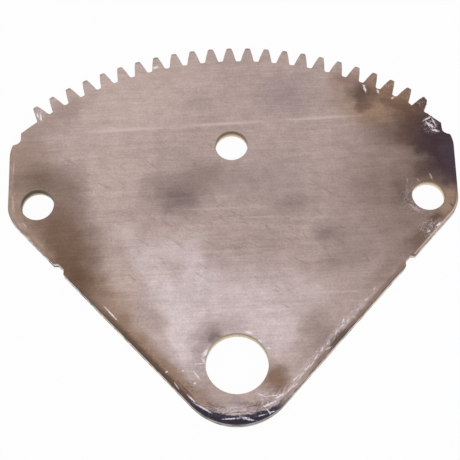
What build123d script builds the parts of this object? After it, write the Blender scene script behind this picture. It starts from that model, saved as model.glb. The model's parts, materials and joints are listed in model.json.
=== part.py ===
from build123d import *
from math import acos, atan2, cos, degrees, hypot, pi, radians, sin, tan
import os

# A sector gear, blanked and pierced in one piece from flat steel plate.
# The origin is the centre of the pivot bore on the underside. +Y points at the middle tooth and
# +Z is up through the plate, which lies flat. Lengths are in millimetres, angles in degrees.

# Plate
plate_thickness = 6.0

# Teeth. The full circle is the gear that the sector is cut from, and the factors are
# multiples of the module, as gear proportions usually are.
full_circle_teeth = 111
teeth_cut = 23
module_size = 3.25
pressure_angle = 17.0
addendum_factor = 1.185
dedendum_factor = 1.415
tip_round_factor = 0.28
root_fillet_factor = 0.35

# Round bores
pivot_bore_radius = 15.875
ear_bore_radius = 8.73
ear_bore_y = 90.2
centre_bore_radius = 8.73
centre_bore_y = 122.7
bore_edge_round = 0.3

# Outline below the teeth
hub_wall = 15.175
ear_wall = 7.0
side_lean = 1.2
land_length = 15.0
relief_wall_height = 3.6
relief_floor_length = 1.1
relief_round = 3.2
shoulder_radius = 17.0
shoulder_angle = 24.0

# Shallow notch in each slanted flank, its distance measured down the flank from the ear
notch_distance = 35.2
notch_depth = 1.9
notch_floor = 5.0
notch_wall_angle = 40.0

# Rolled edge that the punch leaves on the upper side, round the ears, flanks and hub
roll_width = 3.2
roll_depth = 1.1

# How far a cutting or joining shape runs past the metal that it meets
overrun = 1.0

# Gear geometry that follows from the sizes above
pitch_radius = module_size * full_circle_teeth / 2
tip_radius = pitch_radius + addendum_factor * module_size
root_radius = pitch_radius - dedendum_factor * module_size
base_radius = pitch_radius * cos(radians(pressure_angle))
tooth_pitch = 360 / full_circle_teeth
toothed_angle = tooth_pitch * (teeth_cut - 1)

# Outline points that follow from them, worked down from the last tooth to the ear and hub
crown_half_angle = toothed_angle / 2 + degrees(land_length / root_radius)
relief_wall_x = root_radius * sin(radians(crown_half_angle))
crown_corner_y = root_radius * cos(radians(crown_half_angle))
relief_floor_y = crown_corner_y - relief_wall_height - relief_round
shoulder_end = Vector(relief_wall_x + relief_round + relief_floor_length, relief_floor_y)
side_outward = Vector(1, 0).rotate(Axis.Z, -side_lean)
shoulder_centre = shoulder_end - side_outward.rotate(Axis.Z, shoulder_angle) * shoulder_radius
shoulder_start = shoulder_centre + side_outward * shoulder_radius
ear_radius = ear_bore_radius + ear_wall
ear_middle_height = ear_bore_y + ear_radius * side_outward.Y
side_length = (shoulder_start.Y - ear_middle_height) / cos(radians(side_lean))
ear_bore_x = shoulder_start.X - side_length * sin(radians(side_lean)) - ear_radius * side_outward.X
hub_radius = pivot_bore_radius + hub_wall

# The flank is the common tangent of the hub and ear arcs: this is its outward direction
flank_angle = degrees(
    atan2(ear_bore_y, ear_bore_x) - acos((hub_radius - ear_radius) / hypot(ear_bore_x, ear_bore_y))
)
flank_outward = Vector(1, 0).rotate(Axis.Z, flank_angle)
flank_downward = flank_outward.rotate(Axis.Z, -90)
flank_top = Vector(ear_bore_x, ear_bore_y) + flank_outward * ear_radius


def involute(angle):
    """How far, in radians, an involute has turned where its pressure angle has this value."""
    return tan(angle) - angle


def tooth_half_angle(radius):
    """Half the angle, in radians, that a tooth fills at this radius. It is radial inside the base."""
    at_pitch = pi * module_size / 2 / (2 * pitch_radius)
    local_angle = acos(min(1, base_radius / radius))
    return at_pitch + involute(radians(pressure_angle)) - involute(local_angle)


def tooth(flank_points=6):
    """One tooth, standing on +Y, with involute flanks that start a little inside the root circle."""
    start = root_radius - overrun / 2
    step = (tip_radius - start) / (flank_points - 1)
    radii = [start + i * step for i in range(flank_points)]
    right = [(r * sin(tooth_half_angle(r)), r * cos(tooth_half_angle(r))) for r in radii]
    left = [(-x, y) for x, y in right]
    tip = ThreePointArc(left[-1], (0, tip_radius), right[-1])
    foot = Line(left[0], right[0])
    return make_face([Spline(*right), tip, Spline(*left), foot])


def lower_edge(past_shoulder=0.0):
    """Right side of the outline: under the hub, up the flank, round the ear and on to the shoulder."""
    hub = JernArc((0, -hub_radius), (1, 0), hub_radius, 90 + flank_angle)
    flank = Line(hub @ 1, flank_top)
    ear = JernArc(flank @ 1, flank % 1, ear_radius, -flank_angle - side_lean)
    side = Line(ear @ 1, shoulder_start)
    shoulder = JernArc(side @ 1, side % 1, shoulder_radius, shoulder_angle + past_shoulder)
    return [hub, flank, ear, side, shoulder]


def half_blank():
    """Right half of the blank without its teeth, with the relief between shoulder and crown."""
    edge = lower_edge()
    crown_corner = (relief_wall_x, crown_corner_y)
    relief = FilletPolyline(
        edge[-1] @ 1, (relief_wall_x, relief_floor_y), crown_corner, radius=relief_round
    )
    crown = RadiusArc(crown_corner, (0, root_radius), -root_radius)
    middle = Line((0, root_radius), (0, -hub_radius))
    return make_face(edge + [relief, crown, middle])


def flank_notch():
    """The notch in the right flank: a flat floor between two leaning walls."""
    lean = tan(radians(notch_wall_angle))
    middle = flank_top + flank_downward * notch_distance
    deep = middle - flank_outward * notch_depth
    clear = middle + flank_outward * overrun
    half_floor = notch_floor / 2
    half_clear = half_floor + (notch_depth + overrun) * lean
    return make_face(Polyline(
        deep - flank_downward * half_floor,
        deep + flank_downward * half_floor,
        clear + flank_downward * half_clear,
        clear - flank_downward * half_clear,
        close=True,
    ))


def bores():
    """The four pierced bores: the pivot, one in each ear and one under the middle tooth."""
    pivot = Circle(pivot_bore_radius)
    centre = Pos(0, centre_bore_y) * Circle(centre_bore_radius)
    ears = [Pos(x, ear_bore_y) * Circle(ear_bore_radius) for x in (-ear_bore_x, ear_bore_x)]
    return [pivot, centre] + ears


def outline():
    """The whole flat shape: blank, teeth and bores."""
    half = half_blank() - flank_notch()
    first = -toothed_angle / 2
    teeth = PolarLocations(0, teeth_cut, first, toothed_angle, endpoint=True) * tooth()
    return half + mirror(half, Plane.YZ) + teeth - bores()


def rolled_edge():
    """What the rolled edge takes off the right side: an arc, tangent to the top, swept along it."""
    start = Plane(origin=(0, -hub_radius, plate_thickness), x_dir=(0, -1, 0), z_dir=(-1, 0, 0))
    roll = TangentArc((-roll_width, 0), (0, -roll_depth), tangent=(1, 0))
    outside = Polyline((0, -roll_depth), (overrun, -roll_depth), (overrun, overrun),
                       (-roll_width, overrun), (-roll_width, 0))
    past_shoulder = degrees(2 * overrun / shoulder_radius)
    path = Pos(0, 0, plate_thickness) * Wire(lower_edge(past_shoulder))
    return sweep(start * make_face([roll, outside]), path=path)


def upright_edges(part, radius, reach):
    """Upright edges of the toothed arc that stand this far from the pivot axis, within the reach."""
    half_arc = root_radius * sin(radians(toothed_angle / 2 + tooth_pitch))
    return part.edges().filter_by(Axis.Z).filter_by(
        lambda edge: abs(hypot(edge.center().X, edge.center().Y) - radius) < reach
        and abs(edge.center().X) < half_arc
    )


def sector_gear():
    """The finished plate, with rounded tooth tips and roots, rolled edges and eased bores."""
    plate = extrude(outline(), plate_thickness)

    tip_width = 2 * tip_radius * tooth_half_angle(tip_radius)
    tip_round = min(tip_round_factor * module_size, 0.45 * tip_width)
    plate = fillet(upright_edges(plate, tip_radius, tip_round / 2), tip_round)

    gap_width = root_radius * (radians(tooth_pitch) - 2 * tooth_half_angle(root_radius))
    root_fillet = min(root_fillet_factor * module_size, 0.5 * gap_width)
    plate = fillet(upright_edges(plate, root_radius, root_fillet / 2), root_fillet)

    roll = rolled_edge()
    plate = plate - roll - mirror(roll, Plane.YZ)

    top = plate.faces().sort_by(Axis.Z)[-1]
    return fillet([edge for rim in top.inner_wires() for edge in rim.edges()], bore_edge_round)


os.makedirs("parts", exist_ok=True)
gear = sector_gear()
export_step(gear, "parts/sector_gear.step")
print("ear bores at x", round(ear_bore_x, 4), "volume", round(gear.volume))
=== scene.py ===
# %% [markdown]
# # Dressing a sector gear
#
# The real thing is one flat piece of steel, about 240 mm across and 6 mm thick. A press punched it out of plate:
# twenty-three teeth on an arc, a large pivot bore in a rounded hub, and three smaller bores.
#
# Its shape comes from a CAD model, so this script only gives it what the drawing leaves out: the light of a photo
# studio, edges that are worn and eased, and a steel surface with grain, heat colours and scratches. Blender works in
# metres. The part's own sizes are easier to read in millimetres, so the script writes them that way and converts.

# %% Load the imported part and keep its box
import json
from math import acos, atan2, cos, degrees, hypot, radians, sin

import bmesh
import bpy
from mathutils import Matrix, Vector, noise


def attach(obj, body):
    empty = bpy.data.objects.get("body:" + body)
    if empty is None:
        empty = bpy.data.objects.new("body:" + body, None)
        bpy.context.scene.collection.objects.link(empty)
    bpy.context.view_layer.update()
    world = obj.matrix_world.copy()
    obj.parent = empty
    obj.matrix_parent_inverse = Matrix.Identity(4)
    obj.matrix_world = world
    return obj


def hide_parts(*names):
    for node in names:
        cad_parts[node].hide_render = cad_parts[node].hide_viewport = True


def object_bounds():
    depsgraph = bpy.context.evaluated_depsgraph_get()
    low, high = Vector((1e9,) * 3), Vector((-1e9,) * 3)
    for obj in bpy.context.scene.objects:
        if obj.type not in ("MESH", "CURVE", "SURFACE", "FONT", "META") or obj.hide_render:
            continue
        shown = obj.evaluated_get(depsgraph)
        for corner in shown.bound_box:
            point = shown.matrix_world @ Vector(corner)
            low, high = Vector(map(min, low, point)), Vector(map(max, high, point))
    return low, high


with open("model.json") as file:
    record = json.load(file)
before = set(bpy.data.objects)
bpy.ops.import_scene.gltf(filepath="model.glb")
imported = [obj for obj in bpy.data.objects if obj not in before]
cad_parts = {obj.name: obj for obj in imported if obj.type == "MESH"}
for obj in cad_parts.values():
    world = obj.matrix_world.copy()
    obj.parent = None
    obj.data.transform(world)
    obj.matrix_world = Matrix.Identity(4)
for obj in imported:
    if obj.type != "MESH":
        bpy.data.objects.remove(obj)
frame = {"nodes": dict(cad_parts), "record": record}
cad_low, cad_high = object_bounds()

MM = 0.001
plate_thickness = cad_high.z / MM
hub_radius = -cad_low.y / MM
tip_radius = cad_high.y / MM
half_width = cad_high.x / MM
print(f"plate {2 * half_width:.1f} mm wide, {plate_thickness:.1f} thick, hub {hub_radius:.1f}, tips {tip_radius:.1f}")

# %% [markdown]
# ## Places on the plate
#
# Wear and colour follow the part's features, so the script needs to know where they are. The bores are mounts in the
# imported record, with a place and a radius each. The slanted flank is the common tangent of the hub's arc and the
# ear's arc, and two lines of geometry give its direction. Working this out is better than typing it in, because the
# finish then stays on the part when the drawing changes.

# %% Bores, ear and flank
bores = {m["name"]: m for m in frame["record"]["mounts"] if m["kind"] == "bore"}
ear_x, ear_y = (p / MM for p in bores["right_ear_bore"]["pos_m"][:2])
ear_bore_radius = bores["right_ear_bore"]["dims"]["r_mm"]
ear_wall = 7.0
ear_radius = ear_bore_radius + ear_wall
flank_angle = atan2(ear_y, ear_x) - acos((hub_radius - ear_radius) / hypot(ear_x, ear_y))
flank_outward = Vector((cos(flank_angle), sin(flank_angle), 0))
flank_downward = Vector((sin(flank_angle), -cos(flank_angle), 0))
print(f"flank faces {degrees(flank_angle):.1f} degrees, ear bores at x {ear_x:.1f}, y {ear_y:.1f}")

# %% [markdown]
# ## Camera
#
# The photo looks steeply down on the plate from the side of the hub. The camera stands where the teeth and the bores
# of the model fall on those of the photo. It could be placed by an aim point, but a photo also tells how the camera
# was tilted and rolled, so the three turns are written down and the place follows from them: so far back along its own
# axis, and so far to the side. The lens is long, because the teeth near and far differ little in size.

# %% Camera at the photo's angle
camera_tilt = 0.4181
camera_yaw = -0.0148
camera_roll = 0.0284
camera_distance = 598.24
camera_aside = Vector((-3.291, 66.139))
lens_in_pixels = 1200.06
photo_pixels = 460
sensor_width = 36.0
nearest_seen = 0.02

turned = (Matrix.Rotation(-camera_roll, 3, "Z") @ Matrix.Rotation(camera_tilt, 3, "X")
          @ Matrix.Rotation(-camera_yaw, 3, "Y"))
place = turned @ Vector((*camera_aside, camera_distance)) + Vector((0, 0, plate_thickness))
camera = bpy.data.objects.new("camera", bpy.data.cameras.new("camera"))
camera.matrix_world = Matrix.Translation(place * MM) @ turned.to_4x4()
camera.data.sensor_width = sensor_width
camera.data.lens = sensor_width * lens_in_pixels / photo_pixels
camera.data.shift_x = -0.5 / photo_pixels
camera.data.shift_y = 0.5 / photo_pixels
camera.data.clip_start = nearest_seen
bpy.context.scene.collection.objects.link(camera)
bpy.context.scene.camera = camera
bpy.context.scene.view_settings.view_transform = "Standard"
print(f"camera at {[round(v) for v in place]} mm, lens {camera.data.lens:.1f} mm")

# %% [markdown]
# ## Building materials from nodes
#
# A finish is a small program made of nodes. Wiring each by hand takes many lines, so these helpers do the wiring:
# each adds one node to the material at hand, joins or sets its inputs and gives back its output. An input that gets
# a number keeps it as its own value, and one that gets another node's output is linked to it.

# %% Node helpers
def linear(red, green, blue):
    """A colour as a paint program shows it, 0 to 255, as the linear values that the nodes want."""
    def channel(value):
        share = value / 255
        return share / 12.92 if share <= 0.04045 else ((share + 0.055) / 1.055) ** 2.4
    return (channel(red), channel(green), channel(blue), 1.0)


def feed(node_input, value):
    """Links a node's output to this input, or sets the input to a plain value."""
    if isinstance(value, bpy.types.NodeSocket):
        node_input.id_data.links.new(value, node_input)
    else:
        node_input.default_value = value


def add_node(tree, kind, inputs=(), **settings):
    """Adds a shader node. The inputs are given in order, and None leaves one as it is."""
    made = tree.nodes.new("ShaderNode" + kind)
    for name, value in settings.items():
        setattr(made, name, value)
    for node_input, value in zip(made.inputs, inputs):
        if value is not None:
            feed(node_input, value)
    return made


# %% [markdown]
# ## Floor, light and background
#
# The photo has a plain white ground. A large pale floor under the plate catches its shadow. For the camera, and for
# what the metal mirrors, most of the floor's brightness is a plain white glow, so the ground comes out white with
# only a faint shadow, and no extra light falls on the part. The world does the same above the horizon.

# %% Floor and world
WHITE = (1.0, 1.0, 1.0, 1.0)
PAPER = (0.88, 0.88, 0.88, 1.0)
floor_half_width = 6.0
floor_glow = 0.96
room_light = 0.75


def seen_directly(tree):
    """1 for the rays that show the background itself: straight from the camera, mirrored or through glass."""
    path = add_node(tree, "LightPath")
    seen = add_node(tree, "Math", [path.outputs["Is Camera Ray"], path.outputs["Is Glossy Ray"]], operation="MAXIMUM")
    return add_node(tree, "Math", [seen.outputs[0], path.outputs["Is Transmission Ray"]],
                    operation="MAXIMUM").outputs[0]


shape = bmesh.new()
bmesh.ops.create_grid(shape, x_segments=1, y_segments=1, size=floor_half_width)
floor = bpy.data.objects.new("floor", bpy.data.meshes.new("floor"))
shape.to_mesh(floor.data)
shape.free()
bpy.context.scene.collection.objects.link(floor)

paper = bpy.data.materials.new("white_paper")
paper.use_nodes = True
tree = paper.node_tree
tree.nodes.clear()
matt = add_node(tree, "BsdfDiffuse", [PAPER])
white_glow = add_node(tree, "Emission", [WHITE, 1.0])
share = add_node(tree, "Math", [seen_directly(tree), floor_glow], operation="MULTIPLY")
both = add_node(tree, "MixShader", [share.outputs[0], matt.outputs[0], white_glow.outputs[0]])
add_node(tree, "OutputMaterial", [both.outputs[0]])
floor.data.materials.append(paper)

world = bpy.data.worlds.new("studio")
bpy.context.scene.world = world
world.use_nodes = True
tree = world.node_tree
tree.nodes.clear()
strength = add_node(tree, "MapRange", [seen_directly(tree), 0.0, 1.0, room_light, 1.0])
sky = add_node(tree, "Background", [WHITE, strength.outputs[0]])
add_node(tree, "OutputWorld", [sky.outputs[0]])

# %% [markdown]
# Three large soft lamps stand round the plate, as diffusing panels do in a studio. One lamp alone would leave hard
# shadows under the teeth, and a bare sky would leave none. The largest hangs behind the teeth at the left, where the
# plate mirrors it towards the camera and the lower half of the steel looks brighter.

# %% Soft lamps
lamps = {
    "key_lamp": {"at": (-0.45, 0.55, 1.15), "size": 0.9, "watts": 0.5},
    "fill_lamp": {"at": (1.0, -0.2, 0.9), "size": 0.8, "watts": 0.7},
    "low_lamp": {"at": (-0.9, -0.9, 0.6), "size": 0.7, "watts": 0.15},
}
aim = Vector((0, 0.07, 0))
for name, lamp in lamps.items():
    light = bpy.data.lights.new(name, "AREA")
    light.energy, light.size = lamp["watts"], lamp["size"]
    stand = bpy.data.objects.new(name, light)
    stand.location = lamp["at"]
    stand.rotation_euler = (aim - stand.location).to_track_quat("-Z", "Y").to_euler()
    bpy.context.scene.collection.objects.link(stand)
print("lamps:", ", ".join(lamps))

# %% [markdown]
# ## The plate as a piece of its own
#
# The CAD part arrives as loose triangles. Eased edges and wear need a joined mesh, so the piece starts as a copy whose
# doubled corners are merged. Its flat faces are then joined into a few large ones: an edge that only splits a
# flat face serves nothing, and a bevel would have to work round it.

# %% Copy, merge and clean the mesh
same_point = 0.002 * MM
flat_enough = radians(0.2)

gear = bmesh.new()
gear.from_mesh(frame["nodes"]["sector_gear"].data)
triangles = len(gear.faces)
bmesh.ops.remove_doubles(gear, verts=gear.verts, dist=same_point)
bmesh.ops.dissolve_limit(gear, angle_limit=flat_enough, verts=gear.verts, edges=gear.edges)
print(f"{triangles} triangles became {len(gear.faces)} faces")

# %% [markdown]
# ## The worn end of the arc
#
# At the right the gear has run hard against something. The last tooth has lost part of its tip and is rough down its
# outer side, and the land beside it is battered. The outline there gets more points, and each is pushed
# inwards by an amount from smooth noise. The points above and below each other move alike, so the walls stay upright.
# Random numbers would make a saw edge, but noise gives dents that run over several points, as blows do.

# %% Wear the last tooth and the land
full_circle_teeth = 111
teeth_to_the_last = 11
land_length = 15.0
nearly_level = 0.999
tip_loss = 0.22
tip_starts = 181.0
tip_slant = 0.5
foot_height = 0.8
worn_below_root = 0.6
longest_edge = 1.2
cuts_per_edge = 5
dent_depth = 0.55
dent_length = 1.6
dent_cover = 0.35
side_dent = 0.8
outer_side = 0.2

tooth_pitch = radians(360 / full_circle_teeth)
last_tooth = teeth_to_the_last * tooth_pitch
wear_starts = last_tooth - 0.45 * tooth_pitch
land_starts = last_tooth + 0.6 * tooth_pitch


def place_on_arc(vert):
    """The angle of a point from the middle of the arc, and its distance from the pivot in millimetres."""
    return atan2(vert.co.x, vert.co.y), vert.co.xy.length / MM


root_radius = max(radius for angle, radius in map(place_on_arc, gear.verts) if angle > land_starts)
wear_ends = land_starts + land_length / root_radius


def is_worn(vert):
    """True for the points of the outline from the last tooth to the end of the land."""
    angle, radius = place_on_arc(vert)
    return wear_starts < angle < wear_ends and radius > root_radius - worn_below_root


def in_worn_part(edge):
    """True for the worn edges that border the upper side or the underside."""
    return any(abs(face.normal.z) > nearly_level for face in edge.link_faces) and all(map(is_worn, edge.verts))


worn_edges = [edge for edge in gear.edges if in_worn_part(edge)]
long_edges = [edge for edge in worn_edges if edge.calc_length() > longest_edge * MM]
bmesh.ops.subdivide_edges(gear, edges=long_edges, cuts=cuts_per_edge, use_grid_fill=True)
moved = 0
for vert in gear.verts:
    if not is_worn(vert):
        continue
    angle, radius = place_on_arc(vert)
    aside = (angle - last_tooth) * radius
    spot = Vector((vert.co.x, vert.co.y, 0)) / (dent_length * MM)
    dent = dent_depth * max(0.0, dent_cover + noise.noise(spot))
    inward = Vector((-sin(angle), -cos(angle), 0))
    leftward = Vector((-cos(angle), sin(angle), 0))
    if radius > root_radius + foot_height:
        loss = tip_loss * max(0.0, radius - tip_starts) * (1.0 + tip_slant * max(-1.0, min(1.0, aside)))
        vert.co += inward * loss * MM
        if aside > outer_side:
            vert.co += leftward * dent * side_dent * MM
    else:
        vert.co += inward * dent * MM
    moved += 1
print(f"{len(long_edges)} long edges divided, {moved} points worn inwards")

# %% [markdown]
# ## Eased edges
#
# A punch draws the plate's upper edge down a little as it cuts, and every sharp corner is dulled in use. The
# large roll round the hub is in the CAD part. The teeth only have a narrow one. A bevel with three segments makes it,
# on each edge where the flat top meets an upright wall. A Bevel modifier would do the same to all edges at once, but
# here only some are wanted, so the operator gets a list of them.

# %% Ease the edges of the toothed arc
tooth_ease = 0.25
nearly_upright = 0.05
height_error = 0.01


def between_top_and_wall(edge):
    """True where the flat upper face ends at an upright wall."""
    slopes = sorted(abs(face.normal.z) for face in edge.link_faces)
    return (len(slopes) == 2 and slopes[0] < nearly_upright and slopes[1] > nearly_level
            and min(v.co.z for v in edge.verts) > (plate_thickness - height_error) * MM)


top_edges = [edge for edge in gear.edges if between_top_and_wall(edge)]
bmesh.ops.bevel(gear, geom=top_edges, offset=tooth_ease * MM, offset_type="OFFSET", segments=3, profile=0.5,
                affect="EDGES", clamp_overlap=False, material=-1)
print(f"{len(top_edges)} edges eased, {len(gear.faces)} faces")

# %% Smooth shading that keeps flat faces flat
crease = radians(32)
dead_level = 0.99999
for face in gear.faces:
    face.smooth = True
for edge in gear.edges:
    level = [abs(face.normal.z) > dead_level for face in edge.link_faces]
    edge.smooth = edge.calc_face_angle(0) < crease and not any(level)

piece = bpy.data.objects.new("dressed_gear", bpy.data.meshes.new("dressed_gear"))
gear.to_mesh(piece.data)
gear.free()
bpy.context.scene.collection.objects.link(piece)
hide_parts("sector_gear")
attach(piece, "root")

# %% [markdown]
# ## Steel: where each point of the surface is
#
# The finish is one material. It reads the piece's own Object coordinates, which a Mapping node turns into millimetres,
# so a stain can be put at a place on the drawing. A second, slightly shaken copy of them gives stains
# the uneven borders that real ones have.

# %% Start the material
PIVOT = (0, 0, 0)
grain_depth = 8.0
shake_lumps = 9.0
shake_reach = (14.0, 9.0, 0.0)

steel = bpy.data.materials.new("blanked_steel")
steel.use_nodes = True
tree = steel.node_tree
tree.nodes.clear()


def calc(operation, *values):
    """The result of a Math node."""
    return add_node(tree, "Math", values, operation=operation).outputs[0]


def product(*values):
    """Several masks multiplied: 1 only where all of them are."""
    result = values[0]
    for value in values[1:]:
        result = calc("MULTIPLY", result, value)
    return result


def vector_calc(operation, *values):
    """The result of a Vector Math node: a number for a length or a dot product, else a vector."""
    made = add_node(tree, "VectorMath", values, operation=operation)
    return made.outputs["Value" if operation in ("LENGTH", "DOT_PRODUCT") else "Vector"]


def fade(value, start, end, low=0.0, high=1.0):
    """Goes smoothly from low, where the value is at start, to high, where it is at end."""
    return add_node(tree, "MapRange", [value, start, end, low, high], interpolation_type="SMOOTHSTEP").outputs[0]


def measured_from(vector, middle, reach, turn=0.0):
    """Coordinates with their zero at this place, turned by so many degrees, and one unit long at the reach."""
    return add_node(tree, "Mapping", [vector, middle, (0, 0, radians(turn)), reach], vector_type="TEXTURE").outputs[0]


def glow(inside):
    """1 at the zero of these coordinates, falling evenly to 0 one unit away and staying 0 beyond."""
    return add_node(tree, "TexGradient", [inside], gradient_type="SPHERICAL").outputs["Fac"]


def cloud(vector, size=1.0, detail=3.0, rough=0.5, output="Fac"):
    """Noise, about 0.5 on average, with lumps of this size."""
    return add_node(tree, "TexNoise", [vector, None, 1 / size, detail, rough]).outputs[output]


def grain(length, width, turn, detail=4.0, rough=0.6):
    """Noise whose lumps are long streaks, turned by so many degrees from the plate's width."""
    return cloud(measured_from(at, PIVOT, (length, width, grain_depth), turn), 1.0, detail, rough)


def paint(under, over, mask, mode="MIX"):
    """One colour laid over another where the mask is 1."""
    mix = add_node(tree, "Mix", data_type="RGBA", blend_type=mode)
    for node_input, value in zip((mix.inputs[0], mix.inputs[6], mix.inputs[7]), (mask, under, over)):
        feed(node_input, value)
    return mix.outputs[2]


coordinates = add_node(tree, "TexCoord")
at = measured_from(coordinates.outputs["Object"], PIVOT, (MM, MM, MM))
shake = vector_calc("SUBTRACT", cloud(at, shake_lumps, detail=4.0, rough=0.6, output="Color"), (0.5, 0.5, 0.5))
shaken = vector_calc("ADD", at, vector_calc("MULTIPLY", shake, shake_reach))
facing = add_node(tree, "SeparateXYZ", [coordinates.outputs["Normal"]]).outputs[2]
upper = fade(facing, 0.15, 0.45)
wall = fade(calc("ABSOLUTE", facing), 0.5, 0.25)

# %% [markdown]
# ## Steel: broad tones
#
# Seen square on, the real plate isn't one colour. The steel is a warm grey. It is paler and cooler in a wide
# patch above the pivot, partly its own colour and partly a painted reflection of the overhead light. It is browner
# towards both ears, and nearly black at the right shoulder, where heat has coloured it. The zones named shade round
# the pivot are painted shade. Each such zone is a soft ellipse: a Mapping node of the Texture kind moves, turns and
# shrinks the coordinates so that the ellipse becomes a circle of radius one. A spherical Gradient Texture then gives
# the mask, which is 1 in the middle of that circle and 0 from its border on.

# %% Zones of colour
steel_grey = linear(174, 154, 148)
through_plate = 30.0


def zone(vector, middle, reach, turn=0.0, core=0.2):
    """A soft ellipse: 1 inside its core, 0 from its border on. The turn is in degrees."""
    inside = measured_from(vector, (*middle, plate_thickness), (*reach, through_plate), turn)
    return fade(glow(inside), 0.0, 1.0 - core)


def stained(under, zones):
    """A colour with each of these zones laid over it in turn."""
    for middle, reach, turn, core, tint, strength in zones.values():
        under = paint(under, linear(*tint), product(zone(shaken, middle, reach, turn, core), strength))
    return under


# name: middle, reach, turn, core, colour, strength
tones = {
    "warm light, upper left": ((-54, 154), (70, 42), 18, 0.2, (190, 170, 163), 0.6),
    "pale, left of the middle": ((-60, 110), (26, 40), 0, 0.2, (186, 166, 159), 0.7),
    "cool grey under the teeth": ((30, 153), (24, 20), 0, 0.1, (157, 139, 139), 0.7),
    "cool grey, right of the bore": ((27, 103), (22, 22), 0, 0.2, (163, 145, 142), 0.7),
    "dull below the bore": ((8, 101), (28, 14), 0, 0.2, (158, 139, 135), 0.7),
    "brown towards the right ear": ((100, 94), (62, 70), 0, 0.1, (126, 105, 95), 0.85),
    "grey beside the right ear": ((78, 97), (20, 18), 0, 0.1, (136, 116, 108), 0.5),
    # The silver and bright zones below are partly the steel's own paler colour, partly painted reflection of the
    # overhead light.
    "silver above the pivot": ((0, 24), (58, 39), 0, 0.3, (198, 182, 181), 0.95),
    "silver, right of the pivot": ((21, 17), (11, 18), 0, 0.3, (200, 185, 184), 0.6),
    "silver tongue at the right": ((34, 39), (21, 13), -10, 0.2, (194, 177, 174), 0.8),
    "bright ridge": ((-37, 42), (46, 12), -57, 0.2, (212, 198, 198), 0.65),
    "bright, upper end": ((-34, 63), (22, 13), 0, 0.1, (202, 187, 187), 0.65),
    "bright, upper left end": ((-58, 74), (14, 9), 0, 0.1, (202, 184, 180), 0.6),
    "bright, middle": ((-20, 49), (13, 24), 10, 0.2, (206, 191, 193), 0.7),
    "tan border of the silver": ((-57, 48), (8, 24), 32, 0.1, (190, 170, 161), 0.6),
    "light above the middle": ((-21, 71), (13, 8), 0, 0.0, (190, 174, 170), 0.6),
    "bright, left of the pivot": ((-27, 12), (9, 26), 14, 0.3, (214, 200, 200), 0.6),
    "dull left of the pivot": ((-19, 5), (7, 16), 0, 0.1, (166, 149, 146), 0.65),
    "dull streak beside it": ((-44, 26), (20, 7), -50, 0.1, (166, 147, 144), 0.75),
    "dull above the silver": ((16, 64), (30, 10), 0, 0.1, (165, 146, 141), 0.7),
    "brown at the left ear": ((-112, 100), (28, 48), 0, 0.3, (148, 126, 114), 0.9),
    "smoke above the left bore": ((-102, 105), (24, 15), 0, 0.0, (108, 90, 78), 0.75),
    "smoke right of the left bore": ((-87, 97), (15, 22), 0, 0.0, (124, 104, 92), 0.7),
    "brown below the left ear": ((-88, 67), (25, 43), 24, 0.25, (114, 90, 75), 0.95),
    "tan along the left flank": ((-62, 35), (10, 30), 41, 0.1, (166, 141, 124), 0.75),
    "brown at the left notch": ((-79, 48), (13, 30), 40, 0.0, (106, 82, 66), 1.0),
    "tan above the left notch": ((-103, 67), (18, 7), -48, 0.2, (146, 122, 106), 0.7),
    "dull above the left half": ((-18, 150), (18, 10), 0, 0.0, (160, 141, 136), 0.6),
    "dull right of the bore": ((20, 80), (16, 8), 0, 0.1, (156, 137, 131), 0.55),
    "grey blotch, left end": ((-42, 101), (12, 9), 0, 0.0, (146, 127, 122), 0.6),
    "grey blotch": ((-29, 93), (26, 18), 0, 0.0, (117, 102, 99), 0.85),
    "grey blotch, upper end": ((-15, 106), (24, 13), 12, 0.0, (138, 119, 113), 0.75),
    "spot right of the middle": ((33, 87), (17, 13), 0, 0.1, (142, 126, 123), 0.7),
    "spot further right": ((50, 69), (14, 11), 0, 0.0, (130, 113, 111), 0.75),
    "spot below it": ((52, 53), (14, 9), 0, 0.0, (138, 121, 117), 0.65),
    "dull right of the spots": ((64, 59), (20, 13), 0, 0.1, (149, 130, 124), 0.6),
    "brown above the right flank": ((41, 11), (13, 24), 0, 0.1, (147, 127, 120), 0.8),
    "brown along the right flank": ((80, 50), (30, 9), 47, 0.1, (140, 119, 109), 0.6),
    "brown rim under the right ear": ((98, 67), (20, 7), 45, 0.1, (110, 87, 75), 0.8),
    "shade at the pivot's upper left": ((-15, 14), (13, 11), 35, 0.0, (146, 128, 126), 0.7),
    "its dark middle": ((-10.6, 15.6), (8, 6.5), 35, 0.0, (88, 75, 75), 0.85),
    "shade above the pivot": ((-6, 20), (18, 9), 0, 0.1, (170, 153, 150), 0.6),
    "brown right of the pivot": ((20, -9), (11, 12), 15, 0.2, (122, 96, 78), 0.85),
    "brown left below the pivot": ((-16, -17), (9, 6), -40, 0.1, (124, 104, 95), 0.35),
    "brown stripe under the pivot": ((8, -21.4), (14, 2.6), 0, 0.2, (122, 98, 87), 0.65),
    "lilac smudge": ((-0.5, -20), (4.5, 3.4), 0, 0.3, (150, 140, 152), 0.5),
}
colour = stained(steel_grey, tones)
print(len(tones), "zones of tone")

# %% [markdown]
# ## Steel: heat colours at the right shoulder
#
# Steel that gets hot turns straw, brown, purple and then blue-black as its oxide grows. Here it ran from the last
# teeth down to the right ear. The zones are laid on from the weakest heat to the strongest, so the darker colours
# keep a brown border as on the real plate. A smoky smudge sits under two of the teeth, and the first teeth at the
# left have a little of the brown too.

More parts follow.
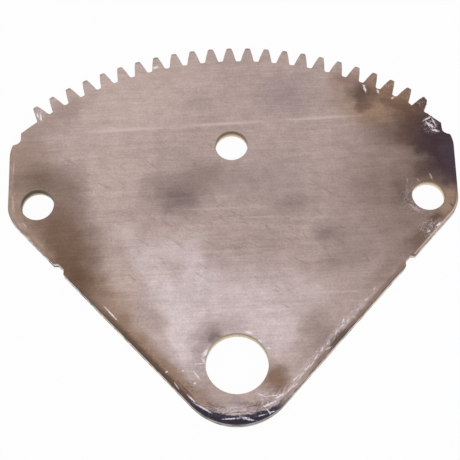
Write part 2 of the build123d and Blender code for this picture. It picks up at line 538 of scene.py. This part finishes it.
# %% Heat colours
heat = {
    "straw border": ((79, 140), (32, 17), -28, 0.1, (150, 120, 99), 0.85),
    "dusky border": ((86, 127), (24, 15), -20, 0.1, (122, 103, 95), 0.75),
    "warm haze left of the smudge": ((60, 150), (16, 13), 0, 0.0, (154, 130, 118), 0.4),
    "between two teeth": ((63, 162), (13, 11), 0, 0.1, (138, 112, 99), 0.75),
    "brown under the last teeth": ((93, 150), (37, 14), -36, 0.4, (134, 105, 86), 0.92),
    "darker under the roots": ((93, 144), (17, 7), -28, 0.0, (92, 68, 56), 0.55),
    "brown towards the corner": ((99, 131), (19, 20), 20, 0.2, (88, 66, 58), 0.9),
    "brown above the right bore": ((103, 105), (16, 13), -20, 0.0, (86, 68, 61), 0.85),
    "soot": ((103, 118), (9, 8), 0, 0.0, (56, 42, 40), 0.8),
    "purple black": ((116, 117), (19, 34), 24, 0.45, (71, 54, 58), 1.0),
    "purple beside the right bore": ((116, 101), (7, 9), 0, 0.2, (84, 65, 64), 0.7),
    "blue edge": ((118, 112), (9, 20), 8, 0.3, (74, 61, 72), 0.7),
    "smudge under the teeth": ((72.5, 153), (13, 10), -30, 0.1, (88, 67, 55), 0.85),
    "its lower end": ((73, 146), (8, 7), 0, 0.1, (104, 81, 69), 0.75),
    "spot below the smudge": ((71, 144), (6, 5), 10, 0.2, (116, 92, 80), 0.75),
    "last tooth": ((105, 146.5), (6, 7), 0, 0.4, (92, 69, 62), 0.9),
    "brown ear": ((115, 86), (9, 12), 0, 0.4, (154, 127, 109), 0.8),
    "dark beside the right bore": ((90, 93), (10, 14), 0, 0.0, (102, 86, 80), 0.7),
    "dark below the right bore": ((106, 77), (7, 4), 40, 0.1, (86, 65, 54), 0.7),
    "first teeth": ((-92, 145.5), (28, 11), 30, 0.1, (150, 130, 123), 0.65),
}
colour = stained(colour, heat)
print(len(heat), "zones of heat")

# %% [markdown]
# ## Steel: how far from the rim
#
# Brown bands, the dark roll and most scratches follow the rim below the teeth: the arc of the hub, two slanted flanks,
# two ears and the sides. Their distance from it is a formula. Mirroring the plate with an absolute X leaves one half.
# For a straight part, the distance is a dot product with its outward direction, and for a round one it is
# taken from the circle's centre. Where a point lies along the outline says which of them holds.

# %% Distance from the rim below the teeth
across, up_plate, height = add_node(tree, "SeparateXYZ", [at]).outputs
folded = add_node(tree, "CombineXYZ", [calc("ABSOLUTE", across), up_plate]).outputs[0]
along_flank = vector_calc("DOT_PRODUCT", folded, flank_downward)


def either(condition, if_not, if_so):
    """One of two values: the second where the condition is 1."""
    return add_node(tree, "Mix", [condition, None, if_not, if_so]).outputs[0]


def from_circle(centre, radius):
    """How far inside a circle a point is."""
    return calc("SUBTRACT", radius, vector_calc("LENGTH", vector_calc("SUBTRACT", folded, centre)))


ear = Vector((ear_x, ear_y, 0))
from_flank = calc("SUBTRACT", hub_radius, vector_calc("DOT_PRODUCT", folded, flank_outward))
from_side = calc("SUBTRACT", half_width, calc("ABSOLUTE", across))
from_rim = either(calc("GREATER_THAN", along_flank, 0.0), from_flank, from_circle(PIVOT, hub_radius))
from_rim = either(calc("LESS_THAN", along_flank, ear.dot(flank_downward)), from_rim, from_circle(ear, ear_radius))
from_rim = either(calc("GREATER_THAN", up_plate, ear_y), from_rim, from_side)
uneven_rim = calc("ADD", from_rim, fade(cloud(at, 3.0), 0.3, 0.7, -0.35, 0.35))
left_side = fade(across, 6.0, -22.0)
right_side = fade(across, 12.0, 26.0)

# %% Brown band inside the left flank, darker towards the hub
band_tan = linear(146, 119, 101)
band_brown = linear(88, 69, 59)

wavy_rim = calc("ADD", from_rim, fade(cloud(at, 8.0), 0.3, 0.7, -1.5, 1.5))
band = fade(wavy_rim, 11.5, 3.0)
band = product(band, left_side, fade(along_flank, 16.0, -8.0), fade(up_plate, 44.0, 26.0))
colour = paint(colour, band_tan, band)
low_band = product(fade(from_rim, 4.6, 1.4), fade(along_flank, -102.0, -40.0), left_side)
colour = paint(colour, band_brown, product(low_band, 0.5))

# %% [markdown]
# ## Steel: grain, mottle and small marks
#
# The plate was rolled, and rolling leaves fine streaks in one direction, here across the plate. Noise that is
# stretched twenty times longer than it is wide looks like them. They, soft clouds and a fine speckle are multiplied
# onto the colour, so they show on every tint. Slanted marks from handling and thin wandering lines are painted over
# it in a faint grey.

# %% Rolling grain, speckle and mottle
def shade_of(mask, dark, light):
    """A grey that multiplies a colour: dark where the mask is low, light where it is high."""
    return add_node(tree, "CombineColor", [fade(mask, 0.3, 0.7, dark, light)] * 3).outputs[0]


fine_grain = grain(14.0, 0.8, 1.5)
speckle = cloud(at, 1.2, detail=3.0, rough=0.75)
mottle = cloud(at, 6.0, detail=4.0, rough=0.65)
for mask, dark, light in ((fine_grain, 0.94, 1.06), (grain(50.0, 2.4, 1.5), 0.96, 1.04), (speckle, 0.9, 1.1),
                          (mottle, 0.92, 1.08), (cloud(at, 24.0, detail=3.0), 0.96, 1.04)):
    colour = paint(colour, shade_of(mask, dark, light), 1.0, "MULTIPLY")

# %% Slanted marks and wandering lines
mark_grey = linear(112, 94, 92)
marks_strength = 0.3

handled = fade(cloud(at, 13.0), 0.42, 0.62)
slanted = calc("MAXIMUM", fade(grain(8.0, 0.85, -38.0, 2.0), 0.42, 0.35),
               fade(grain(5.0, 0.7, -12.0, 2.0), 0.39, 0.33))
wander = fade(calc("ABSOLUTE", calc("SUBTRACT", cloud(shaken, 12.0, detail=1.0), 0.5)), 0.014, 0.004)
marks = product(calc("MAXIMUM", product(slanted, zone(at, (-5, 84), (120, 74), 0, 0.4)),
                     product(wander, zone(at, (14, 70), (62, 34), 0, 0.4))), handled)
colour = paint(colour, mark_grey, product(marks, marks_strength))

# %% [markdown]
# ## Steel: scratches in known places
#
# Some scratches are too large to leave to chance, and so are a few painted glints and highlights. Each is a long
# thin ellipse from one place to another, made by the same pair of nodes as the zones. Of all the glows only the
# strongest is kept. It says how near the nearest scratch is, and that one value is roughened with noise before it
# becomes a mask, because a real scratch has a ragged border.

# %% Distance to the nearest scratch
raggedness_limit = 0.4


def nearest_of(marks):
    """0 in the middle of the nearest mark and 1 at its border, up to 1.4. Each has two ends and a width."""
    seen_to = 1.0 + raggedness_limit
    strongest = 0.0
    for start, end, width in marks:
        middle, span = (Vector(start) + Vector(end)) / 2, Vector(end) - Vector(start)
        reach = (seen_to * (span.length + width) / 2, seen_to * width / 2, through_plate)
        inside = measured_from(at, (*middle, plate_thickness), reach, degrees(atan2(span.y, span.x)))
        strongest = calc("MAXIMUM", glow(inside), strongest)
    return calc("MULTIPLY_ADD", strongest, -seen_to, seen_to)


def scratched(marks, solid=0.35, ragged=0.38):
    """A mask that is 1 on these marks, with a border as ragged as asked, up to the limit."""
    border = fade(cloud(at, 0.8, detail=3.0, rough=0.7), 0.3, 0.7, -ragged, ragged)
    return fade(calc("ADD", nearest_of(marks), border), 1.0, solid)


# %% [markdown]
# ## Steel: the rolled rim
#
# Where the punch pulled the edge down, the surface turns away and mirrors a darker room. That dark reflection is
# painted into the colour: almost navy on the hub, brown in places on the flanks. The mask is the distance from the rim
# again, and the place along the flank decides the colour. From the right notch up to the ear, a thin pale line is
# painted where the bent edge catches the light, and round the left ear a soft painted sheen. A thin dark line is
# painted outside them, where the edge turns down furthest.

# %% Painted dark reflection on the roll round the hub, flanks and ears
roll_reflection_brown = linear(122, 99, 86)
roll_reflection_brown_left = linear(88, 69, 60)
roll_reflection_patch = linear(80, 66, 59)
hub_shade_violet = linear(90, 75, 80)
hub_navy_reflection = linear(52, 47, 61)
widest_hub_roll, narrowest_hub_roll = 4.8, 2.8

# Painted dark reflection on the rolled rim: brown on the flanks, navy round the hub.
roll_reflection = product(fade(uneven_rim, 3.0, 1.2), upper, fade(up_plate, 128.0, 116.0))
from_middle = calc("ABSOLUTE", across)
hub_roll_width = fade(from_middle, 6.0, 20.0, widest_hub_roll, narrowest_hub_roll)
hub_roll_reflection = fade(calc("SUBTRACT", hub_roll_width, uneven_rim), 0.0, 1.0)
hub_roll_reflection = product(hub_roll_reflection, upper, fade(along_flank, -12.0, 7.0), fade(across, 29.0, 19.0))
patchy = fade(cloud(at, 20.0, detail=1.0), 0.42, 0.6, fade(along_flank, -38.0, -54.0, 0.35, 0.7), 0.85)
roll_reflection_right = product(roll_reflection, right_side, patchy, fade(up_plate, 100.0, 84.0), fade(along_flank, -12.0, -34.0, 0.25, 1.0))
colour = paint(colour, roll_reflection_brown, roll_reflection_right)
# A darker patch of the same painted reflection on the right flank's roll.
colour = paint(colour, roll_reflection_patch, product(zone(at, (51.4, 11.6), (11, 3.2), 47, 0.3), 0.8))
# Painted shade on the face just inside the hub's roll, broken into streaks.
hub_shade = product(fade(from_rim, 9.5, 5.0), fade(along_flank, -8.0, 8.0), fade(from_middle, 22.0, 12.0))
hub_shade = product(hub_shade, fade(grain(3.0, 0.6, -4.0, 3.0), 0.6, 0.45))
colour = paint(colour, hub_shade_violet, product(hub_shade, upper, 0.65))
colour = paint(colour, roll_reflection_brown_left, product(roll_reflection, left_side, fade(along_flank, -104.0, -30.0, 0.0, 0.6)))
colour = paint(colour, hub_navy_reflection, hub_roll_reflection)

# %% Painted highlights on the roll's crest and at the left ear, and the painted dark line outside them
crest_highlight_silver = linear(206, 186, 176)
sheen_tan = linear(172, 149, 134)
outer_reflection_grey = linear(74, 64, 62)

# Painted highlight: a thin pale line where the right flank's bent edge catches the light.
crest_highlight = product(fade(from_rim, 0.0, 0.4), fade(from_rim, 1.2, 0.7), upper, right_side)
crest_highlight = product(crest_highlight, fade(along_flank, -94.0, -106.0), fade(along_flank, -150.0, -141.0))
colour = paint(colour, crest_highlight_silver, product(crest_highlight, fade(along_flank, -102.0, -124.0, 0.5, 0.8)))
# Painted sheen on the roll round the left ear, where the turned-down edge would render too dark.
ear_sheen = product(fade(uneven_rim, 3.8, 1.8), left_side, fade(along_flank, -100.0, -124.0), upper)
colour = paint(colour, sheen_tan, product(ear_sheen, fade(cloud(at, 5.0), 0.36, 0.6, 0.1, 0.7)))
# Painted dark reflection: a thin dark line where the rim's edge turns down furthest.
outer_dark_reflection = product(fade(uneven_rim, 0.7, 0.1), upper, fade(up_plate, 128.0, 116.0))
outer_dark_reflection = product(outer_dark_reflection, fade(along_flank, -88.0, -104.0, 1.0, 0.25))
colour = paint(colour, outer_reflection_grey, product(outer_dark_reflection, 0.6))

# %% Painted shade on the tips of the teeth, with a few marks on their faces
tip_shade_grey = linear(112, 98, 98)
tooth_mark_silver = linear(204, 190, 186)

from_pivot = vector_calc("LENGTH", add_node(tree, "CombineXYZ", [across, up_plate]).outputs[0])
# Painted shade on the top of the teeth near their tips.
tips = product(fade(from_pivot, tip_radius - 1.6, tip_radius - 0.4), fade(cloud(at, 4.0), 0.4, 0.6, 0.2, 0.7), upper)
colour = paint(colour, tip_shade_grey, tips)
tooth_marks = fade(grain(1.6, 0.5, 78.0, 2.0), 0.55, 0.63)
tooth_marks = product(tooth_marks, fade(from_pivot, root_radius, root_radius + 3), upper)
colour = paint(colour, tooth_mark_silver, product(tooth_marks, 0.4))

# %% Bright scratches, dents and painted glints
# The last three hub marks are a painted highlight along the inner border of the hub's roll, scuffed as well.
hub_scratches_and_highlight = [
    ((-9, -28.3), (1, -28.2), 0.9), ((1, -28.1), (8.2, -29.3), 0.9), ((0, -27.4), (6, -28.2), 0.7),
    ((9.4, -27.4), (14, -26.2), 0.6), ((14, -23.6), (15.8, -26.4), 0.9), ((14.6, -25.8), (19, -24.4), 0.6),
    ((-25, -15.6), (-20, -20.6), 1.0), ((-20, -20.6), (-12, -26), 0.9), ((-23, -19), (-15, -24.4), 0.5),
]
# One rim mark, on the left flank, is a painted glint; the rest are scratches.
rim_scratches_and_glint = [
    ((11, -23.4), (19, -19.8), 1.4), ((18, -18.6), (24, -16), 1.2), ((9, -15.4), (15, -18.4), 0.6),
    ((13, -17.6), (23, -16.4), 0.6), ((26, -13.8), (30, -11), 0.7), ((23.6, -16.6), (28, -11.4), 0.8),
    ((27, -10.4), (30.6, -6.8), 0.7), ((29.8, -9.6), (33.2, -5.4), 0.6), ((33.4, -4.8), (36.6, -1.4), 0.9),
    ((36, -3.2), (38.4, 0.2), 0.6), ((38.2, 0.2), (40.8, 4), 0.8), ((42.2, 4.2), (43.2, 7.6), 0.7),
    ((44.4, 5.6), (47.4, 7.6), 0.6), ((45.2, 8.4), (46.4, 11.2), 0.7), ((49.4, 13.6), (51, 16.2), 0.6),
    ((52.6, 18), (54.6, 18.8), 0.8), ((53.6, 19.6), (54.8, 22.2), 0.9), ((55.6, 19.8), (57.2, 22), 0.6),
    ((61, 25.6), (63, 28.4), 0.6), ((66, 31.2), (67.6, 33), 0.5), ((70.4, 36.6), (71.6, 38.6), 0.5),
    ((105.8, 71.8), (108.5, 74.2), 1.3), ((101, 68.6), (102.6, 69.8), 0.8),
    ((-67.2, 32.2), (-60, 24), 1.1), ((-31.4, -9), (-29, -12.8), 0.6),
]
bore_scratches = [
    ((-16.8, 4), (-14.8, 7.2), 2.8), ((-17.2, 3), (-16.4, 0.8), 1.4), ((-22, 0.2), (-16.4, 0.2), 0.6),
    ((-22, -3.4), (-18, -8.6), 0.8), ((5, 16.4), (8, 15.4), 1.7), ((11.2, 11.8), (12.4, 10.8), 1.4),
    ((15.4, 8), (16.4, 7.1), 1.2),
]
# On the teeth, the spot at the left and the pink one under the smudge are painted glints.
arc_scratches_and_glints = [
    ((104.4, 134.6), (109, 137.2), 1.4), ((109.2, 136.6), (111.4, 131), 1.0), ((106, 133.8), (110, 130.2), 1.8),
    ((108.6, 129.2), (112.6, 128), 1.7), ((-42.2, 172.9), (-40.4, 172.9), 2.2), ((73.4, 159), (74.8, 153.4), 1.7),
    ((81.2, 154.8), (81.5, 153), 1.4), ((88.6, 149.4), (89.8, 149.9), 1.4), ((-104.2, 144.4), (-103.5, 141), 1.3),
    ((-105.9, 145.4), (-105.4, 143.4), 1.2),
]
handling_marks = [
    ((-92, 119), (-84, 114), 0.9), ((-91, 117.4), (-83, 112.6), 0.8), ((-84, 107), (-77, 101.6), 0.9),
    ((-74, 104), (-62, 97), 0.9), ((-72, 102.4), (-64, 97), 0.7), ((-48, 116), (-38, 108), 0.8),
    ((-31, 102), (-24, 92), 0.8), ((-35, 70.4), (-24, 60.8), 0.9), ((-33, 69.8), (-25, 62.8), 0.6),
    ((-17, 68.4), (-9, 63), 1.0), ((-21, 56), (-11, 49.4), 0.9), ((-8, 81), (-4, 78), 1.2), ((4, 77.4), (8, 76), 1.1),
    ((16, 76), (19, 72), 1.2), ((36, 70), (38.6, 66), 1.2), ((30, 56.4), (41, 51), 0.9), ((22, 31.6), (29, 27.6), 0.8),
    ((67, 58), (70, 52), 1.0), ((55, 74), (60, 71), 1.0), ((-56, 50.4), (-50, 44.6), 0.9), ((43, 84), (47, 80), 1.0),
]
# The first two soft marks are a painted highlight along the crease of the left ear's roll.
soft_marks_and_crease_highlight = [
    ((-117.2, 119), (-117.3, 105), 0.9), ((-117.2, 97), (-115.6, 84.6), 1.5), ((-113.6, 80.4), (-111.4, 77.4), 1.0),
    ((-110.6, 79.8), (-108.8, 77.4), 1.5), ((-108.8, 72.8), (-106.4, 70.2), 1.6), ((-104, 67.4), (-100.4, 63.4), 0.9),
    ((-97, 58.4), (-94.4, 56), 1.4), ((-102, 122.4), (-93.4, 123), 0.8), ((94.4, 83.6), (98, 80.8), 2.6),
    ((105, 103.4), (106.2, 99.4), 1.4), ((98.2, 99.8), (99.4, 98.4), 1.0), ((92.8, 100.6), (93.2, 98.2), 0.9),
]
dark_hub_marks = [
    ((3.4, -22.8), (13, -21.2), 0.9), ((-12, -21), (-4, -23.4), 0.8), ((-16, -19.4), (-10, -22.6), 0.7),
    ((-7, -24.8), (4, -25.2), 0.6), ((-30, -8.4), (-22, -17), 1.2), ((8, -24.6), (14, -22.8), 0.6),
    ((114.4, 84.8), (116, 83.4), 1.4),
]
dents = [
    ((-35.3, -3.6), (-34.9, -3.4), 1.3), ((-27, -3.4), (-27, -3.2), 0.9), ((-21.4, -9.9), (-21.2, -9.7), 1.0),
]
dark_mark_purple = linear(70, 56, 58)
soft_and_crease_silver = linear(198, 180, 174)

# One bright mask for the scratches, the dents and the painted glints and highlights.
scratches_and_glints = hub_scratches_and_highlight + rim_scratches_and_glint + bore_scratches + arc_scratches_and_glints + dents
bright = product(scratched(scratches_and_glints), upper)
print(len(scratches_and_glints), "scratches and dents,", len(handling_marks + dark_hub_marks + soft_marks_and_crease_highlight), "fainter marks")
colour = paint(colour, mark_grey, product(scratched(handling_marks, solid=0.2), upper, 0.38))
colour = paint(colour, dark_mark_purple, product(scratched(dark_hub_marks, solid=0.2), upper, 0.7))
# Soft pale marks, with a painted highlight along the crease of the left ear's roll.
colour = paint(colour, soft_and_crease_silver, product(scratched(soft_marks_and_crease_highlight, solid=0.2), upper, 0.6))

# %% [markdown]
# ## Steel: scuffed places
#
# Where the gear rubbed, there are far more scratches than one would place by hand. Two fields of short streaks at
# different slants are cut off high up, so only their peaks are left, and they are let through in the scuffed zones:
# round the lower rim, beside the bores and at the battered land. The hub's dark roll lies lower than the face and
# was hardly touched, so they fade there.

# %% Fields of short scratches
scuff_silver = linear(208, 194, 198)
scratch_and_glint_silver = linear(230, 221, 227)
scuff_zones = [
    # middle, reach, strength
    ((-2, -24.5), (22, 5), 1.0), ((-21, -4), (9, 15), 0.7), ((16, -19), (14, 8), 0.9), ((98, 88), (14, 14), 0.55),
    ((103, 71), (9, 8), 0.9), ((108.5, 132), (6, 7), 1.0), ((-104.5, 144), (4, 6), 1.0),
]

scuff_streaks = calc("MAXIMUM", fade(grain(2.4, 0.5, 55.0, 2.0), 0.55, 0.63),
                     fade(grain(2.2, 0.5, -25.0, 2.0), 0.57, 0.65))
scuffed = product(fade(from_rim, 1.6, 2.8), fade(from_rim, 7.0, 3.0), fade(along_flank, -82.0, -40.0),
                  fade(left_side, 0.0, 1.0, 1.0, 0.25))
for middle, reach, strength in scuff_zones:
    scuffed = calc("MAXIMUM", scuffed, product(zone(at, middle, reach), strength))
hub_streaks = product(fade(grain(4.5, 0.45, -4.0, 2.0), 0.53, 0.6), zone(at, (1, -24.2), (18, 4.4)))
nicks = calc("MAXIMUM", fade(cloud(at, 0.9, detail=1.0), 0.6, 0.68), fade(grain(5.0, 0.5, 48.0, 2.0), 0.58, 0.66))
nicks = product(nicks, right_side, fade(from_rim, 6.5, 4.6), fade(from_rim, 1.8, 3.4), fade(along_flank, -88.0, -60.0))
scuffs = product(calc("MAXIMUM", product(scuff_streaks, scuffed), calc("MAXIMUM", hub_streaks, nicks)), upper)
scuffs = product(scuffs, fade(hub_roll_reflection, 0.0, 1.0, 1.0, 0.15))
colour = paint(colour, scuff_silver, product(scuffs, 0.75))
# Scratches, dents and painted glints in bright silver.
colour = paint(colour, scratch_and_glint_silver, product(bright, 0.85))

# %% The long pale line under the teeth, and rolling streaks
streak_silver = linear(208, 190, 185)
streak_shade = linear(150, 131, 126)
streak_strength, shade_strength = 0.3, 0.15
long_line_gain = 2.0

long_line = scratched([((-94, 132.6), (-20, 135.6), 3.8), ((-34, 135), (32, 137.6), 3.2),
                       ((10, 136.8), (78, 139.3), 3.0)], solid=0.0, ragged=0.14)
pale_lines = scratched([((-64, 69.6), (-43, 70), 2.4), ((-82, 60), (22, 61), 2.6), ((-62, 50), (-8, 50.5), 2.2),
                        ((-32, 85), (18, 85.6), 2.4), ((40, 36.6), (74, 37), 2.0), ((-20, 79.6), (44, 80), 1.8)],
                       solid=0.0, ragged=0.25)
under_line = scratched([((-92, 129.8), (4, 133.6), 3.4)], solid=0.0, ragged=0.25)
colour = paint(colour, streak_shade, product(under_line, upper, shade_strength))
pale_streaks = calc("MAXIMUM", pale_lines, product(long_line, long_line_gain))
colour = paint(colour, streak_silver, product(pale_streaks, upper, streak_strength))

# %% [markdown]
# ## Steel: the sheared walls
#
# A punched wall has two zones. Its upper third is burnished by the punch and smooth, and below it the steel
# tore, which leaves a rough, paler surface. Both follow the height above the underside, and upright
# streaks run through them where the punch dragged along. Their colours are partly painted light: the upper part
# is painted darker as a mirrored dark room, the lower part paler as if lit by the white floor. Dark gaps break
# the torn part, and at the left flank its lowest edge is a row of dashes of painted shadow, where it meets the floor.

# %% Walls
# Dark upper wall: burnish plus painted dark reflection. Pale lower wall: torn steel plus painted floor light.
burnished_dark_reflection = linear(92, 81, 77)
torn_pale_floor_lit, torn_grey = linear(222, 210, 197), linear(172, 168, 165)
gap_and_shadow_brown = linear(84, 69, 61)
bore_olive, bore_olive_left = linear(120, 99, 75), linear(88, 76, 60)
bore_cream = linear(240, 222, 198)
pivot_ochre = linear(150, 135, 108)

drag = cloud(measured_from(at, PIVOT, (0.7, 0.7, 6.0)), 1.0, 4.0, 0.6)
gaps = fade(cloud(measured_from(at, PIVOT, (6.0, 6.0, 2.4)), 1.0, 2.0), 0.48, 0.42)
uneven_height = calc("ADD", height, fade(drag, 0.3, 0.7, -0.4, 0.4))
torn_steel = paint(torn_pale_floor_lit, torn_grey, fade(along_flank, -14.0, 2.0))
rim_walls = paint(burnished_dark_reflection, torn_steel, fade(uneven_height, 5.2, 3.6))
rim_walls = paint(rim_walls, gap_and_shadow_brown, product(gaps, 0.75))
# Painted shadow at the foot of the left flank's wall, broken into dashes.
shadow_dashes = fade(cloud(measured_from(at, PIVOT, (3.6, 3.6, 40.0)), 1.0, 1.0), 0.52, 0.46)
shadow_dashes = product(shadow_dashes, fade(height, 2.6, 1.4), left_side, fade(along_flank, -14.0, -22.0))
rim_walls = paint(rim_walls, gap_and_shadow_brown, product(shadow_dashes, 0.85))
# How far down the bore walls' darker top reaches; below it they turn cream, partly painted floor light.
dark_top_depth = calc("ADD", fade(across, -100.0, 100.0, 1.2, 2.6), fade(up_plate, 70.0, 20.0, 0.0, 3.0))
bore_walls = paint(bore_olive, bore_olive_left, fade(across, -20.0, -90.0))
bore_walls = paint(bore_walls, bore_cream, fade(calc("SUBTRACT", uneven_height, dark_top_depth), 2.2, -2.0))
# Ochre towards the top of the pivot's wall, partly burnish and partly the same painted dark reflection.
pivot_upper_wall_tint = product(fade(up_plate, 70.0, 20.0), fade(height, 1.5, 5.0, 0.2, 0.9))
bore_walls = paint(bore_walls, pivot_ochre, pivot_upper_wall_tint)
wall_colour = paint(rim_walls, bore_walls, fade(from_rim, 3.0, 5.0))
wall_colour = paint(wall_colour, shade_of(drag, 0.9, 1.08), 1.0, "MULTIPLY")
colour = paint(colour, wall_colour, wall)

# %% [markdown]
# ## Steel: gloss and relief
#
# The same masks also drive the shine. The mottle changes the roughness a little, scratches are smoother, torn walls
# rougher. A Bump node turns grain, speckle, marks and the walls' streaks into relief of a few hundredths of a
# millimetre.

# %% Shader
smoothest, roughest = 0.38, 0.5
scratch_gloss = 0.12
torn_roughness = 0.15
grain_relief, speckle_relief, marks_relief, walls_relief = 0.5, 0.5, 0.6, 1.5
relief_strength = 0.5
relief_height = 0.06
metallic_share = 0.9

roughness = fade(mottle, 0.3, 0.7, smoothest, roughest)
roughness = calc("SUBTRACT", roughness, product(bright, scratch_gloss))
roughness = calc("ADD", roughness, product(fade(height, 4.8, 3.6), wall, torn_roughness))
relief = calc("ADD", product(fine_grain, grain_relief), product(speckle, speckle_relief))
relief = calc("SUBTRACT", relief, product(marks, marks_relief))
relief = calc("ADD", relief, product(drag, wall, walls_relief))
bump = add_node(tree, "Bump")
bump.inputs["Strength"].default_value = relief_strength
bump.inputs["Distance"].default_value = relief_height * MM
feed(bump.inputs["Height"], relief)

skin = add_node(tree, "BsdfPrincipled")
feed(skin.inputs["Base Color"], colour)
skin.inputs["Metallic"].default_value = metallic_share
feed(skin.inputs["Roughness"], roughness)
feed(skin.inputs["Normal"], bump.outputs[0])
add_node(tree, "OutputMaterial", [skin.outputs[0]])
piece.data.materials.append(steel)
print(len(tree.nodes), "nodes in the steel")
